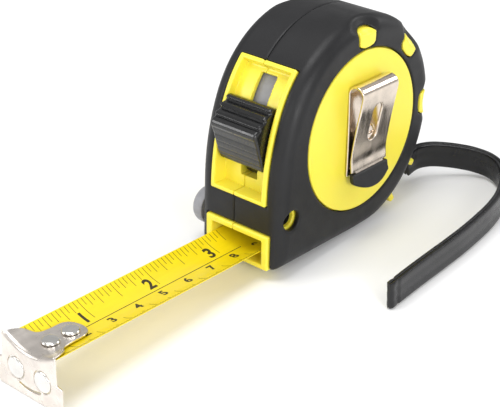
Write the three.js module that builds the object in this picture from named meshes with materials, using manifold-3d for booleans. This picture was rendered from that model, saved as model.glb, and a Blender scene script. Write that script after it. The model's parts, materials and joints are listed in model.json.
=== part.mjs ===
// Pocket tape measure with a rubber-jacketed case, 5 m by 19 mm blade, magnetic hook, thumb lock, side brake,
// belt clip and wrist strap. Millimetres, +Z up, the blade leaves towards -Y and the belt clip is on +X.
// The mechanism is modelled about the drum axis and then stood on its heel and on the hook's lip.
import * as THREE from 'three';
import { mergeVertices } from 'three/addons/utils/BufferGeometryUtils.js';
import Module from 'manifold-3d';

const wasm = await Module();
wasm.setup();

// Case, measured from the drum axis.
const AXIS_HEIGHT = 34.8;
const JACKET_R = 35.6;
const HALF_WIDTH = 16.36;
const JACKET_EDGE = 4.8;
const FRONT_Y = -38.7;
const SHOULDER_ANGLE = 155;
const GAP = 0.3;
const JACKET_T = 2;
const CASE_INSET = JACKET_T + GAP;
const CASE_HALF = HALF_WIDTH - CASE_INSET;
const CAVITY_INSET = 4.2;
const CAVITY_HALF = 12.1;
const CAVITY_R = JACKET_R - CAVITY_INSET;
const SEAM_X = -1.5;
const DISC_R = 25.8;
const PROUD = 0.6;

// Front openings: the lock window above and the blade's mouth below.
const WINDOW_HALF = 10.8;
const WINDOW_INNER = 9.3;
const WINDOW_TOP_ANGLE = 135.5;
const WINDOW_BOTTOM_Z = -14;
const FLOOR_R = 33;
const LOCK_SLOT_HALF = 3.2;
const BEZEL_HALF = 12.34;
const BEZEL_TOP_Z = -23.4;
const BEZEL_DEPTH = 4.7;
const MOUTH_HALF = 9.96;
const MOUTH_BOTTOM_Z = -33.2;
const MOUTH_TOP_Z = -25.3;

// Blade and coil.
const BLADE_HALF = 9.52;
const BLADE_T = 0.3;
const BLADE_Z = -31.7;
const BLADE_SAG = 0.0306;
const BLADE_END_Y = -119.2;
const BLADE_BEND_Y = -31;
const BLADE_INNER_Y = -3;
const COIL_R = 24.6;
const DRUM_R = 19;

// Hook.
const LIP_FRONT_Y = -121.3;
const LIP_BACK_Y = -120.3;
const LIP_DROP = 9.5;
const HOOK_T = 0.8;
const RIVET_Y = [-113.1, -105.9];
const MAGNET_X = 5.35;
const MAGNET_Z = -37;
const MAGNET_R = 3.2;

// Lock, side brake, clip, screws and strap lug.
const LOCK_HALF = 8.8;
const SLIDER_R = 31;
const BRAKE = { y: -30.6, z: -25.9, headR: 6, stemR: 3 };
const CLIP_HALF = 8.6;
const CLIP_T = 0.8;
const SIDE_REACH = 22.4;
const SCREW = { y: -32.5, z: -18.8 };
const BOSS_INNER = 7.2;
const LUG = { angle: -46, spread: 21, reach: 38.9, x0: 4.5, x1: 14, pinR: 0.95, pinAt: 37 };
// The grip pads follow the rim: each has an angle about the drum axis and a radius of its own.
const PADS = [[90, 29.6], [45, 30.4], [0, 31.6]];
const PAD = { along: 7.6, across: 5.4, scallopAt: 40 };

// The wrist strap's route on the surface the tape stands on, in the finished frame.
const STRAP_WIDTH = 8.6;
const STRAP_ROUTE = [
  [9.2, 76.5, 7.3], [9.6, 81.5, 8], [11.8, 85.6, 8.1], [15.2, 88.6, 7.9], [19.5, 92.1, 7.1],
  [24, 95.1, 6], [29.5, 96, 5.2], [35, 93.6, 4.8], [40.2, 87.4, 4.6], [44.3, 78.8, 4.5], [46.4, 71.3, 4.5],
  [47.6, 62.8, 4.5], [48.4, 52.8, 4.5], [48.7, 42.8, 4.5], [48.8, 32.8, 4.5], [49, 22.8, 4.5], [49.4, 13.8, 4.5],
];

const YELLOW = { color: 0xf4e61c, roughness: 0.38, metalness: 0 };
const RUBBER = { color: 0x36363a, roughness: 0.62, metalness: 0 };
const BLACK = { color: 0x242427, roughness: 0.45, metalness: 0 };
const GREY = { color: 0x8b8b8e, roughness: 0.5, metalness: 0 };
const STEEL = { color: 0xc9c6c0, roughness: 0.25, metalness: 1 };
const BRIGHT = { color: 0xe9e8e4, roughness: 0.18, metalness: 1 };
const BLADE_PAINT = { color: 0xf2dc24, roughness: 0.4, metalness: 0 };
const STRAP = { color: 0x2a2a2c, roughness: 0.55, metalness: 0 };

const radians = THREE.MathUtils.degToRad;
const polar = (angle, r) => [r * Math.cos(radians(angle)), r * Math.sin(radians(angle))];

// ---- solids -------------------------------------------------------------------------------------------------

function solid(geometry) {
  const bare = geometry.clone();
  for (const name of Object.keys(bare.attributes)) {
    if (name !== 'position') bare.deleteAttribute(name);
  }
  const merged = mergeVertices(bare, 1e-4);
  const mesh = { numProp: 3, vertProperties: new Float32Array(merged.attributes.position.array),
    triVerts: new Uint32Array(merged.index.array) };
  return new wasm.Manifold(new wasm.Mesh(mesh));
}

function geometryOf(manifold) {
  const mesh = manifold.getMesh();
  const geometry = new THREE.BufferGeometry();
  geometry.setAttribute('position', new THREE.BufferAttribute(new Float32Array(mesh.vertProperties), 3));
  geometry.setIndex(new THREE.BufferAttribute(new Uint32Array(mesh.triVerts), 1));
  return geometry;
}

const join = (first, ...rest) => rest.reduce((sum, piece) => sum.add(piece), first);
const cut = (first, ...rest) => rest.reduce((left, piece) => left.subtract(piece), first);

// A shape drawn in (y, z) and swept along X, with small bevelled rims when edge is given.
function alongX(shape, x0, x1, edge = 0, curveSegments = 14) {
  const options = { depth: x1 - x0 - 2 * edge, curveSegments, bevelEnabled: edge > 0, bevelThickness: edge,
    bevelSize: edge, bevelOffset: -edge, bevelSegments: 2 };
  const geometry = new THREE.ExtrudeGeometry(shape, options);
  geometry.translate(0, 0, x0 + edge);
  const turn = new THREE.Matrix4().makeBasis(new THREE.Vector3(0, 1, 0), new THREE.Vector3(0, 0, 1),
    new THREE.Vector3(1, 0, 0));
  return solid(geometry.applyMatrix4(turn));
}

// A shape drawn in (x, z) and swept along Y.
function alongY(shape, y0, y1, curveSegments = 10) {
  const geometry = new THREE.ExtrudeGeometry(shape, { depth: y1 - y0, curveSegments, bevelEnabled: false });
  geometry.rotateX(Math.PI / 2);
  geometry.translate(0, y1, 0);
  return solid(geometry);
}

// A shape drawn in (x, y) and swept along Z.
function alongZ(shape, z0, z1, curveSegments = 10) {
  const geometry = new THREE.ExtrudeGeometry(shape, { depth: z1 - z0, curveSegments, bevelEnabled: false });
  geometry.translate(0, 0, z0);
  return solid(geometry);
}

function block(x0, x1, y0, y1, z0, z1) {
  const geometry = new THREE.BoxGeometry(x1 - x0, y1 - y0, z1 - z0);
  geometry.translate((x0 + x1) / 2, (y0 + y1) / 2, (z0 + z1) / 2);
  return solid(geometry);
}

// A cylinder whose axis runs along X.
function roundX(r, x0, x1, y = 0, z = 0, segments = 24) {
  const geometry = new THREE.CylinderGeometry(r, r, x1 - x0, segments);
  geometry.rotateZ(-Math.PI / 2);
  geometry.translate((x0 + x1) / 2, y, z);
  return solid(geometry);
}

// A profile of [x, r] points turned about the X axis through (y, z).
function turnedX(points, y = 0, z = 0, segments = 40) {
  const profile = points.map(([x, r]) => new THREE.Vector2(r, x));
  const geometry = new THREE.LatheGeometry(profile, segments);
  geometry.rotateZ(-Math.PI / 2);
  geometry.translate(0, y, z);
  return solid(geometry);
}

function outline(points) {
  return new THREE.Shape(points.map(([u, v]) => new THREE.Vector2(u, v)));
}

// A box set square to the radius at an angle: along is its size round the case, across its size outwards.
function radialBlock(angle, r, along, across, x0, x1) {
  const geometry = new THREE.BoxGeometry(x1 - x0, across, along);
  geometry.rotateX(radians(angle));
  const [y, z] = polar(angle, r);
  geometry.translate((x0 + x1) / 2, y, z);
  return solid(geometry);
}

function stadium(u, v, halfWidth, length) {
  const run = length / 2 - halfWidth;
  const shape = new THREE.Shape();
  shape.absarc(u, v + run, halfWidth, 0, Math.PI, false);
  shape.absarc(u, v - run, halfWidth, Math.PI, 2 * Math.PI, false);
  shape.closePath();
  return shape;
}

// ---- case ---------------------------------------------------------------------------------------------------

// The case's side outline: a round back and top, a nearly upright front and a flat base.
function sideOutline(inset, baseInset = inset) {
  const r = JACKET_R - inset;
  const base = -AXIS_HEIGHT + baseInset;
  const heel = Math.asin(Math.max(base / r, -1));
  const shape = new THREE.Shape();
  shape.absarc(0, 0, r, heel, radians(SHOULDER_ANGLE), false);
  shape.quadraticCurveTo(FRONT_Y + 0.5 + inset, 2.3, FRONT_Y + 0.3 + inset, WINDOW_BOTTOM_Z);
  shape.lineTo(FRONT_Y + inset, base);
  shape.closePath();
  return shape;
}

function sector(startAngle, floorZ, reach) {
  return outline([[0, 0], polar(startAngle, reach), [-reach, reach / 3], [-reach, floorZ], [0, floorZ]]);
}

// The whole case with quarter-round rims: the same outline at a growing inset, skinned from face to face.
function roundedBulk(grow) {
  const half = HALF_WIDTH + grow;
  const arc = [0, 22.5, 45, 67.5, 90];
  const rim = arc.map((turn) => ({ x: half - JACKET_EDGE * (1 - Math.cos(radians(turn))),
    inset: JACKET_EDGE * (1 - Math.sin(radians(turn))) - grow }));
  const layers = [...rim.map(({ x, inset }) => ({ x: -x, inset })), ...rim.reverse()];
  const rings = layers.map(({ x, inset }) => sideOutline(inset).getPoints(16).slice(0, -1)
    .map((point) => [x, point.x, point.y]));
  const count = rings[0].length;
  const vertices = [[-half, 0, 0], [half, 0, 0], ...rings.flat()];
  const faces = [];
  const last = 2 + count * (rings.length - 1);
  for (let i = 0; i < count; i += 1) {
    const next = (i + 1) % count;
    faces.push([0, 2 + next, 2 + i], [1, last + i, last + next]);
    for (let ring = 2; ring < last; ring += count) {
      faces.push([ring + i, ring + next, ring + count + next], [ring + i, ring + count + next, ring + count + i]);
    }
  }
  const geometry = new THREE.BufferGeometry();
  geometry.setAttribute('position', new THREE.Float32BufferAttribute(vertices.flat(), 3));
  geometry.setIndex(faces.flat());
  return solid(geometry);
}

function pad([angle, r], side, grow) {
  const x0 = side > 0 ? CASE_HALF - 2 : -HALF_WIDTH - 2;
  const x1 = side > 0 ? HALF_WIDTH + 2 : -CASE_HALF + 2;
  return radialBlock(angle, r, PAD.along + 2 * grow, PAD.across + 2 * grow, x0, x1);
}

function lugEar(turn, grow) {
  const from = CAVITY_R + 0.6;
  return radialBlock(LUG.angle + turn * LUG.spread / 2, (from + LUG.reach) / 2, 2.2 + 2 * grow,
    LUG.reach - from + 2 * grow, LUG.x0 - grow, LUG.x1 + grow);
}

function windowFrame() {
  const front = alongX(sideOutline(-PROUD), -WINDOW_HALF, WINDOW_HALF);
  const region = alongX(sector(WINDOW_TOP_ANGLE, WINDOW_BOTTOM_Z, 60), -WINDOW_HALF - 1, WINDOW_HALF + 1);
  return cut(front.intersect(region), roundX(CAVITY_R, -WINDOW_HALF - 1, WINDOW_HALF + 1, 0, 0, 56));
}

function windowRecess() {
  const opening = alongX(sector(WINDOW_TOP_ANGLE + 2, WINDOW_BOTTOM_Z + 1.4, 60), -WINDOW_INNER, WINDOW_INNER);
  return cut(opening, roundX(FLOOR_R, -WINDOW_INNER - 1, WINDOW_INNER + 1, 0, 0, 56));
}

function lockSlot() {
  const wedge = outline([[0, 0], polar(140, 50), polar(168, 50), polar(197, 50)]);
  return alongX(wedge, -LOCK_SLOT_HALF, LOCK_SLOT_HALF).intersect(roundX(FLOOR_R + 1, -5, 5, 0, 0, 56));
}

function bezel(grow) {
  return block(-BEZEL_HALF - grow, BEZEL_HALF + grow, FRONT_Y - PROUD - grow, FRONT_Y + BEZEL_DEPTH + grow,
    -AXIS_HEIGHT - 5 * grow, BEZEL_TOP_Z + grow);
}

function mouth() {
  const inside = FRONT_Y + BEZEL_DEPTH;
  const rivetChannel = block(-3.2, 3.2, inside - 1, inside + 13, MOUTH_BOTTOM_Z + GAP, MOUTH_TOP_Z);
  return join(block(-MOUTH_HALF, MOUTH_HALF, FRONT_Y - 3, inside, MOUTH_BOTTOM_Z, MOUTH_TOP_Z),
    block(-MOUTH_HALF, MOUTH_HALF, inside - 1, inside + 13, MOUTH_BOTTOM_Z + 0.9, MOUTH_TOP_Z), rivetChannel);
}

function caseBody() {
  const shell = cut(
    join(alongX(sideOutline(CASE_INSET, 1.3), -CASE_HALF, CASE_HALF),
      roundX(DISC_R, -HALF_WIDTH, HALF_WIDTH, 0, 0, 64)),
    alongX(sideOutline(CAVITY_INSET, 3), -CAVITY_HALF, CAVITY_HALF),
    roundX(DISC_R - 2, -HALF_WIDTH + 2, HALF_WIDTH - 2, 0, 0, 48));
  const rubberSkin = roundedBulk(0.15);
  const pads = [1, -1].flatMap((side) => PADS.map((place) => pad(place, side, 0).intersect(rubberSkin)));
  const socket = [[11.6, 3.3], [11.6, 5.2], [HALF_WIDTH - 1, 5.2], [HALF_WIDTH - 1, 3.3], [11.6, 3.3]];
  const sockets = [turnedX(socket), turnedX(socket.map(([x, r]) => [-x, r]).reverse())];
  const bosses = [roundX(3.7, -CAVITY_HALF - 1, -BOSS_INNER, SCREW.y, SCREW.z),
    roundX(3.7, BOSS_INNER, CAVITY_HALF + 1, SCREW.y, SCREW.z)];
  return cut(
    join(shell, windowFrame(), bezel(0), ...bosses, ...pads, ...sockets, lugEar(1, 0), lugEar(-1, 0)),
    windowRecess(), lockSlot(), mouth(),
    roundX(1.6, -CAVITY_HALF + 1, HALF_WIDTH, SCREW.y, SCREW.z, 16),
    roundX(2.8, CASE_HALF - 2.6, HALF_WIDTH, SCREW.y, SCREW.z, 20),
    roundX(1.9, 0, HALF_WIDTH + 1),
    roundX(BRAKE.stemR + 0.3, -HALF_WIDTH, -5, BRAKE.y, BRAKE.z),
    roundX(4.9, -HALF_WIDTH, -11.6, BRAKE.y, BRAKE.z),
    lugPin(LUG.pinR + 0.3, 8));
}

function jacketBody() {
  const scallops = [1, -1].flatMap((side) => PADS.map(([angle]) => {
    const [y, z] = polar(angle, PAD.scallopAt);
    const ball = new THREE.SphereGeometry(12, 24, 16);
    ball.translate(side * (HALF_WIDTH + 6.6), y, z);
    return solid(ball);
  }));
  const openings = [1, -1].flatMap((side) => PADS.map((place) => pad(place, side, GAP)));
  const windowRegion = sector(WINDOW_TOP_ANGLE - 0.5, WINDOW_BOTTOM_Z - GAP, 60);
  return cut(roundedBulk(0), ...scallops, ...openings,
    alongX(sideOutline(JACKET_T, 1), -CASE_HALF - GAP, CASE_HALF + GAP),
    roundX(DISC_R + GAP, -HALF_WIDTH - 1, HALF_WIDTH + 1, 0, 0, 64),
    alongX(windowRegion, -WINDOW_HALF - GAP, WINDOW_HALF + GAP),
    bezel(GAP),
    roundX(3.25, CASE_HALF - 1, HALF_WIDTH + 1, SCREW.y, SCREW.z),
    roundX(BRAKE.headR + 0.4, -HALF_WIDTH - 1, -CASE_HALF + 1, BRAKE.y, BRAKE.z, 32),
    radialBlock(LUG.angle, 38, LUG.spread * 0.62 + 5.6, 12, LUG.x0 - 0.8, LUG.x1 + GAP));
}

const rightOf = (body, x) => body.intersect(block(x, 60, -80, 80, -80, 80));
const leftOf = (body, x) => body.intersect(block(-60, x, -80, 80, -80, 80));

// ---- drum ---------------------------------------------------------------------------------------------------

function drum() {
  const half = 10.9;
  const profile = [[-half, 3.3], [-half, 27], [-half + 0.9, 27], [-half + 0.9, DRUM_R], [half - 0.9, DRUM_R],
    [half - 0.9, 27], [half, 27], [half, DRUM_R - 1.8], [-half + 1.4, DRUM_R - 1.8], [-half + 1.4, 3.3],
    [-half, 3.3]];
  return turnedX(profile, 0, 0, 40);
}

function woundBlade() {
  const profile = [[-BLADE_HALF, DRUM_R + GAP], [-BLADE_HALF, COIL_R], [BLADE_HALF, COIL_R],
    [BLADE_HALF, DRUM_R + GAP], [-BLADE_HALF, DRUM_R + GAP]];
  return turnedX(profile, 0, 0, 48);
}

function powerSpring() {
  const turns = 5;
  const steps = turns * 20;
  const inner = [];
  const outer = [];
  for (let i = 0; i <= steps; i += 1) {
    const angle = 360 * turns * i / steps;
    const r = 3.8 + 12.6 * i / steps;
    inner.push(polar(angle, r));
    outer.push(polar(angle, r + 0.45));
  }
  return alongX(outline([...outer, ...inner.reverse()]), -8, 7.6);
}

function springCover() {
  return turnedX([[8, 3.3], [8, DRUM_R - 2.1], [9, DRUM_R - 2.1], [9, 3.3], [8, 3.3]], 0, 0, 40);
}

function spindle() {
  return cut(roundX(3, -13.9, 13.9), roundX(1.9, 5, 15, 0, 0, 16));
}

// ---- blade and hook -----------------------------------------------------------------------------------------

// A flat bar of the blade's width bent to its cross curve: lift is the height of its middle above the blade's.
function dished(halfWidth, thickness, y0, y1, lift, rows) {
  const geometry = new THREE.BoxGeometry(2 * halfWidth, y1 - y0, thickness, 8, rows, 1);
  const position = geometry.attributes.position;
  for (let i = 0; i < position.count; i += 1) {
    const x = position.getX(i);
    const y = position.getY(i) + (y0 + y1) / 2;
    const bend = THREE.MathUtils.smoothstep(y, BLADE_BEND_Y, BLADE_INNER_Y);
    const rise = (-COIL_R - 0.5 - BLADE_Z) * bend;
    const sag = BLADE_SAG * x * x * (1 - bend);
    position.setXYZ(i, x, y, BLADE_Z + lift + rise + sag + position.getZ(i));
  }
  return solid(geometry);
}

function blade() {
  const holes = RIVET_Y.map((y) => alongZ(new THREE.Shape().absarc(0, y, 1.6, 0, 2 * Math.PI), -40, -25, 8));
  return cut(dished(BLADE_HALF, BLADE_T, BLADE_END_Y, BLADE_INNER_Y, 0, 17), ...holes);
}

function hookPlateOutline() {
  const shape = new THREE.Shape();
  shape.moveTo(-9.6, LIP_FRONT_Y);
  shape.lineTo(9.6, LIP_FRONT_Y);
  shape.lineTo(9.6, -118.6);
  shape.bezierCurveTo(9.2, -114.2, 5.2, -114.6, 4.7, -110);
  shape.lineTo(4.7, RIVET_Y[1]);
  shape.absarc(0, RIVET_Y[1], 4.7, 0, Math.PI, false);
  shape.lineTo(-4.7, -110);
  shape.bezierCurveTo(-5.2, -114.6, -9.2, -114.2, -9.6, -118.6);
  shape.closePath();
  return shape;
}

function lipOutline() {
  const bottom = -AXIS_HEIGHT - LIP_DROP;
  const shape = new THREE.Shape();
  shape.moveTo(-12.9, bottom + 1.6);
  shape.quadraticCurveTo(-12.8, bottom, -11.2, bottom);
  shape.lineTo(11.2, bottom);
  shape.quadraticCurveTo(12.8, bottom, 12.9, bottom + 1.6);
  shape.lineTo(13.1, -36.6);
  shape.lineTo(10.9, -35.6);
  shape.lineTo(10.7, -27.6);
  for (let x = 9.6; x >= -9.6; x -= 2.4) {
    shape.lineTo(x, BLADE_Z + BLADE_SAG * x * x + 1.1);
  }
  shape.lineTo(-10.7, -27.6);
  shape.lineTo(-10.9, -35.6);
  shape.lineTo(-13.1, -36.6);
  shape.closePath();
  return shape;
}

function nailSlot() {
  const shape = new THREE.Shape();
  shape.moveTo(-4.6, -40.5);
  shape.quadraticCurveTo(0, -42.1, 4.6, -40.5);
  shape.lineTo(4.6, -41.4);
  shape.quadraticCurveTo(0, -43, -4.6, -41.4);
  shape.closePath();
  return shape;
}

const hookDisc = (x, y, r) => new THREE.Shape().absarc(x, y, r, 0, 2 * Math.PI);

function endHook() {
  const floatSlots = RIVET_Y.map((y) => alongZ(stadium(0, y, 1.75, 5.2), -40, -25, 8));
  const plate = dished(9.6, HOOK_T, LIP_FRONT_Y + 0.1, RIVET_Y[1] + 5.5, 0.85, 8)
    .intersect(alongZ(hookPlateOutline(), -40, -20, 8));
  const lip = alongY(lipOutline(), LIP_FRONT_Y, LIP_BACK_Y);
  const fold = alongY(lipOutline(), LIP_BACK_Y - 0.2, LIP_BACK_Y + 0.2)
    .intersect(block(-12, 12, LIP_BACK_Y - 1, LIP_BACK_Y + 1, BLADE_Z - 0.5, -20));
  const seats = [-1, 1].map((side) => alongY(hookDisc(side * MAGNET_X, MAGNET_Z, MAGNET_R + GAP),
    LIP_FRONT_Y - 1, LIP_BACK_Y + 1));
  return cut(join(plate, lip, fold), ...floatSlots, ...seats, alongY(nailSlot(), LIP_FRONT_Y - 1, LIP_BACK_Y + 1, 6));
}

function rivet(y) {
  const headBase = BLADE_Z + 0.85 + HOOK_T / 2 + 0.3;
  const tailTop = BLADE_Z - BLADE_T / 2 - 0.3;
  const points = [[0, tailTop - 0.35], [2, tailTop - 0.35], [2, tailTop], [1.25, tailTop], [1.25, headBase],
    [2.65, headBase], [2.65, headBase + 0.6], [2.3, headBase + 0.85], [0, headBase + 0.9]];
  const geometry = new THREE.LatheGeometry(points.map(([r, z]) => new THREE.Vector2(r, z)), 20);
  geometry.rotateX(Math.PI / 2);
  geometry.translate(0, y, 0);
  return solid(geometry);
}

function magnet(side) {
  return alongY(hookDisc(side * MAGNET_X, MAGNET_Z, MAGNET_R), LIP_FRONT_Y - 0.1, LIP_BACK_Y, 12);
}

// ---- lock ---------------------------------------------------------------------------------------------------

function lockButton() {
  const face = [[155.5, 33.4], [155.5, 36.7], [157.6, 38], [158.2, 37.3], [159.4, 38.1], [161.5, 39.6],
    [162.1, 38.9], [163.2, 39.8], [165.2, 41.2], [165.8, 40.6], [167, 42.1], [169.3, 42.2], [172, 41.2],
    [179, 39], [186.5, 37.4], [186.5, 33.4], [178, 33.4], [171, 33.4], [163, 33.4]];
  const cap = alongX(outline(face.map(([angle, r]) => polar(angle, r))), -LOCK_HALF, LOCK_HALF, 0.5);
  const stem = outline([polar(164, SLIDER_R + GAP), polar(164, 34), polar(178, 34), polar(178, SLIDER_R + GAP)]);
  return join(cap, alongX(stem, -2.6, 2.6));
}

function lockSlider() {
  const arc = [];
  for (let angle = 139; angle <= 205; angle += 6) {
    arc.push(polar(angle, SLIDER_R));
  }
  const foot = [polar(211, SLIDER_R), polar(219, SLIDER_R), [-25.2, -25.7], [-23, -24.8], polar(219, 29.5)];
  const back = [];
  for (let angle = 207; angle >= 139; angle -= 6) {
    back.push(polar(angle, SLIDER_R - 1.3));
  }
  const plate = alongX(outline([...arc, ...foot, ...back]), -6.4, 6.4);
  return cut(plate, block(-8, -3.4, -40, 0, -40, -20), block(3.4, 8, -40, 0, -40, -20));
}

function lockPad() {
  return alongX(outline([[-25.6, -26.1], [-25.9, -28.9], [-23.2, -28.9], [-23, -25.2]]), -3, 3);
}

// ---- side brake ---------------------------------------------------------------------------------------------

function sideBrakeButton() {
  const headBase = -HALF_WIDTH - 0.54;
  const { headR, stemR } = BRAKE;
  const profile = [[-SIDE_REACH, 0], [-SIDE_REACH + 0.3, 3], [-SIDE_REACH + 1.1, 4.8], [-SIDE_REACH + 2.6, headR],
    [headBase, headR], [headBase, stemR], [-12.6, stemR], [-12.6, 0]];
  return turnedX(profile, BRAKE.y, BRAKE.z, 28);
}

class Helix extends THREE.Curve {
  constructor(r, x0, x1, turns) {
    super();
    Object.assign(this, { r, x0, x1, turns });
  }

  getPoint(t, target = new THREE.Vector3()) {
    const [y, z] = polar(360 * this.turns * t, this.r);
    return target.set(this.x0 + (this.x1 - this.x0) * t, BRAKE.y + y, BRAKE.z + z);
  }
}

function sideBrakeSpring() {
  const wire = new THREE.Shape().absarc(0, 0, 0.3, 0, 2 * Math.PI);
  const path = new Helix(4, -12.2, -16.3, 3.5);
  return solid(new THREE.ExtrudeGeometry(wire, { steps: 42, curveSegments: 3, extrudePath: path,
    bevelEnabled: false }));
}

// ---- belt clip, fasteners and strap -------------------------------------------------------------------------

// Points along the clip's middle line in (x, z): the leaf on the case, the fold, and the outer leaf.
function clipLine() {
  const base = HALF_WIDTH + 0.3 + CLIP_T / 2;
  const outer = SIDE_REACH - CLIP_T / 2;
  const mid = (base + outer) / 2;
  const line = [[base, -12.2]];
  for (let turn = 180; turn >= 0; turn -= 20) {
    line.push([mid + (outer - mid) * Math.cos(radians(turn)), 14.6 + 2.4 * Math.sin(radians(turn))]);
  }
  line.push([outer - 1.2, 8], [base + 1.75, -8.6], [base + 1.9, -10.6]);
  return line;
}

// The outline of a strip of even thickness about a line of points.
function strip(line, thickness) {
  const left = [];
  const right = [];
  line.forEach((point, i) => {
    const before = line[Math.max(i - 1, 0)];
    const after = line[Math.min(i + 1, line.length - 1)];
    const along = new THREE.Vector2(after[0] - before[0], after[1] - before[1]).normalize();
    left.push([point[0] - along.y * thickness / 2, point[1] + along.x * thickness / 2]);
    right.push([point[0] + along.y * thickness / 2, point[1] - along.x * thickness / 2]);
  });
  return outline([...left, ...right.reverse()]);
}

const tipLine = [[18.96, -10.6], [19, -11.6], [19.5, -13.6], [20.4, -15.6]];

function beltClip() {
  const body = alongY(strip(clipLine(), CLIP_T), -CLIP_HALF, CLIP_HALF);
  const tongue = alongY(strip(tipLine.slice(0, 3), CLIP_T), -6.8, 6.8);
  const slot = alongX(stadium(0, 4.2, 2.2, 12.4), 18.4, SIDE_REACH + 1);
  return cut(join(body, tongue), slot, roundX(1.9, 15, 18.2, 0, 0, 16));
}

function clipTipCap() {
  const line = [[19.05, -11.9], [19.35, -13.4], [20.1, -15.2], [21, -16.9]];
  const bulk = alongY(strip(line, 2), -CLIP_HALF, CLIP_HALF);
  const curve = new THREE.Shape();
  curve.moveTo(-CLIP_HALF, -11.4);
  curve.lineTo(-CLIP_HALF, -14.6);
  curve.bezierCurveTo(-5, -17.8, 5, -17.8, CLIP_HALF, -14.6);
  curve.lineTo(CLIP_HALF, -11.4);
  curve.closePath();
  return cut(bulk.intersect(alongX(curve, 15, 25)), alongY(strip(tipLine.slice(0, 3), CLIP_T + 0.6), -7.1, 7.1));
}

function clipScrew() {
  const seat = HALF_WIDTH + 0.3 + CLIP_T + 0.3;
  const profile = [[6, 0], [6, 1.6], [seat, 1.6], [seat, 3.1], [seat + 0.5, 3.1], [seat + 1, 2.2], [seat + 1.1, 0]];
  return cut(turnedX(profile, 0, 0, 24), block(seat + 0.6, 22, -2.4, 2.4, -0.35, 0.35));
}

function caseScrew() {
  const top = CASE_HALF - 0.6;
  const profile = [[-10, 0], [-10, 1.25], [top - 1.6, 1.25], [top - 1.6, 2.4], [top - 0.4, 2.4], [top, 1.9],
    [top, 0]];
  const recess = join(block(top - 0.8, 16, SCREW.y - 1.4, SCREW.y + 1.4, SCREW.z - 0.3, SCREW.z + 0.3),
    block(top - 0.8, 16, SCREW.y - 0.3, SCREW.y + 0.3, SCREW.z - 1.4, SCREW.z + 1.4));
  return cut(turnedX(profile, SCREW.y, SCREW.z, 20), recess);
}

// A rod between the lug's ears, square to the radius through the lug's middle.
function lugPin(r, overhang) {
  const geometry = new THREE.CylinderGeometry(r, r, 16 + overhang, 14);
  geometry.rotateX(Math.PI / 2 + radians(LUG.angle));
  const [y, z] = polar(LUG.angle, LUG.pinAt);
  geometry.translate((LUG.x0 + LUG.x1) / 2, y, z);
  return solid(geometry);
}

function wristStrap() {
  const half = STRAP_WIDTH / 2;
  const thick = 1.3;
  const section = outline([[thick, -half + 0.4], [thick, half - 0.4], [thick - 0.5, half], [-thick + 0.5, half],
    [-thick, half - 0.4], [-thick, -half + 0.4], [-thick + 0.5, -half], [thick - 0.5, -half]]);
  const points = STRAP_ROUTE.map(([x, y, z]) => new THREE.Vector3(x, y, z));
  const path = new THREE.CatmullRomCurve3(points, false, 'centripetal');
  return solid(new THREE.ExtrudeGeometry(section, { steps: 40, extrudePath: path, bevelEnabled: false }));
}

// ---- scene --------------------------------------------------------------------------------------------------

function add(group, name, manifold, look) {
  const mesh = new THREE.Mesh(geometryOf(manifold), new THREE.MeshStandardMaterial(look));
  mesh.name = name;
  group.add(mesh);
}

const tape = new THREE.Group();
const body = caseBody();
add(tape, 'case_right', rightOf(body, SEAM_X + GAP / 2), YELLOW);
add(tape, 'case_left', leftOf(body, SEAM_X - GAP / 2), YELLOW);
const jacket = jacketBody();
add(tape, 'jacket_right', rightOf(jacket, SEAM_X + GAP / 2), RUBBER);
add(tape, 'jacket_left', leftOf(jacket, SEAM_X - GAP / 2), RUBBER);
add(tape, 'spindle', spindle(), STEEL);
add(tape, 'drum', drum(), BLACK);
add(tape, 'wound_blade', woundBlade(), BLADE_PAINT);
add(tape, 'power_spring', powerSpring(), STEEL);
add(tape, 'spring_cover', springCover(), BLACK);
add(tape, 'blade', blade(), BLADE_PAINT);
add(tape, 'end_hook', endHook(), BRIGHT);
add(tape, 'hook_rivet_front', rivet(RIVET_Y[0]), STEEL);
add(tape, 'hook_rivet_rear', rivet(RIVET_Y[1]), STEEL);
add(tape, 'hook_magnet_left', magnet(-1), BRIGHT);
add(tape, 'hook_magnet_right', magnet(1), BRIGHT);
add(tape, 'lock_button', lockButton(), BLACK);
add(tape, 'lock_slider', lockSlider(), GREY);
add(tape, 'lock_pad', lockPad(), BLACK);
add(tape, 'side_brake_button', sideBrakeButton(), GREY);
add(tape, 'side_brake_spring', sideBrakeSpring(), STEEL);
add(tape, 'belt_clip', beltClip(), STEEL);
add(tape, 'clip_tip_cap', clipTipCap(), BLACK);
add(tape, 'clip_screw', clipScrew(), STEEL);
add(tape, 'case_screw', caseScrew(), BLACK);
add(tape, 'strap_pin', lugPin(LUG.pinR, 0), STEEL);

// The tape stands on the case's heel and on the back edge of the hook's lip, so its front is tilted up a little.
const heelY = Math.sqrt(JACKET_R ** 2 - AXIS_HEIGHT ** 2);
const tilt = Math.atan2(LIP_DROP, heelY - LIP_BACK_Y);
tape.rotation.x = -tilt;
tape.updateMatrixWorld(true);
const bounds = new THREE.Box3().setFromObject(tape, true);
tape.position.set(0, -(bounds.min.y + bounds.max.y) / 2, -bounds.min.z);

const root = new THREE.Group();
root.add(tape);
add(root, 'wrist_strap', wristStrap(), STRAP);

export default root;
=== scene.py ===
"""Pocket tape measure: a rubber-jacketed case, printed blade, magnetic hook, thumb lock, side brake, clip
and strap.

The pieces are worked out in millimetres about the drum's axis, +X towards the belt clip and -Y towards the
hook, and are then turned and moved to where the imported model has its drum.
"""
import json

import bmesh
import bpy
import numpy as np
from mathutils import Euler, Matrix, Vector


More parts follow.
